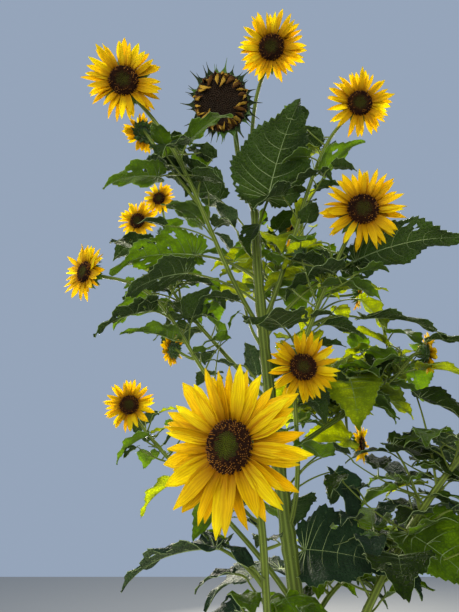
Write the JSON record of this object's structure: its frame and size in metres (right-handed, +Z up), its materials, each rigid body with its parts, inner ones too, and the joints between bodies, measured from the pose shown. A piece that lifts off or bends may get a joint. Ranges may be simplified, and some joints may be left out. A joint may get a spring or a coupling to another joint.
{
  "type": "sunflower plant",
  "caption": "Tall branching garden sunflower rooted in the ground, with heart-shaped leaves, yellow heads on long stems and one spent brown head.",
  "frame": {"origin": "middle of the main stem's flat cut at ground level", "axes": "+Z up along the stem's height, -Y towards the side that most flower heads face"},
  "size_m": [1.0691, 0.8844, 2.1767],
  "materials": {
    "stem_green": "matt ridged green stem",
    "leaf_green": "rough leaf with pale veins",
    "petal_yellow": "soft petal",
    "spent_brown": "dry and withered"
  },
  "bodies": {
    "root": {"bough_centre": "stem_green", "bough_front": "stem_green", "bough_left_high": "stem_green", "bough_left_low": "stem_green", "bough_left_middle": "stem_green", "bough_rear_high": "stem_green", "bough_rear_left": "stem_green", "bough_rear_low": "stem_green", "bough_rear_right": "stem_green", "bough_right_high": "stem_green", "bough_right_low": "stem_green", "bough_right_middle": "stem_green", "bough_top": "stem_green", "bough_upper": "stem_green", "flower_centre": "petal_yellow", "flower_front": "petal_yellow", "flower_left_high": "petal_yellow", "flower_left_low": "petal_yellow", "flower_left_middle": "petal_yellow", "flower_right_high": "petal_yellow", "flower_right_low": "petal_yellow", "flower_right_middle": "petal_yellow", "flower_top": "petal_yellow", "flower_upper": "spent_brown", "foliage_centre": "leaf_green", "foliage_front": "leaf_green", "foliage_left_high": "leaf_green", "foliage_left_low": "leaf_green", "foliage_left_middle": "leaf_green", "foliage_rear_high": "leaf_green", "foliage_rear_left": "leaf_green", "foliage_rear_low": "leaf_green", "foliage_rear_right": "leaf_green", "foliage_right_high": "leaf_green", "foliage_right_low": "leaf_green", "foliage_right_middle": "leaf_green", "main_stem": "stem_green", "shoot_high": "leaf_green", "shoot_low": "leaf_green", "shoot_middle": "leaf_green", "stem_leaf_01": "leaf_green", "stem_leaf_02": "leaf_green", "stem_leaf_03": "leaf_green", "stem_leaf_04": "leaf_green", "stem_leaf_05": "leaf_green", "stem_leaf_06": "leaf_green", "stem_leaf_07": "leaf_green", "stem_leaf_08": "leaf_green", "stem_leaf_09": "leaf_green", "stem_leaf_10": "leaf_green", "stem_leaf_11": "leaf_green", "stem_leaf_12": "leaf_green", "stem_leaf_13": "leaf_green", "stem_leaf_14": "leaf_green", "stem_leaf_15": "leaf_green", "stem_leaf_16": "leaf_green", "stem_leaf_17": "leaf_green", "stem_leaf_18": "leaf_green", "stem_leaf_19": "leaf_green"}
  },
  "joints": []
}
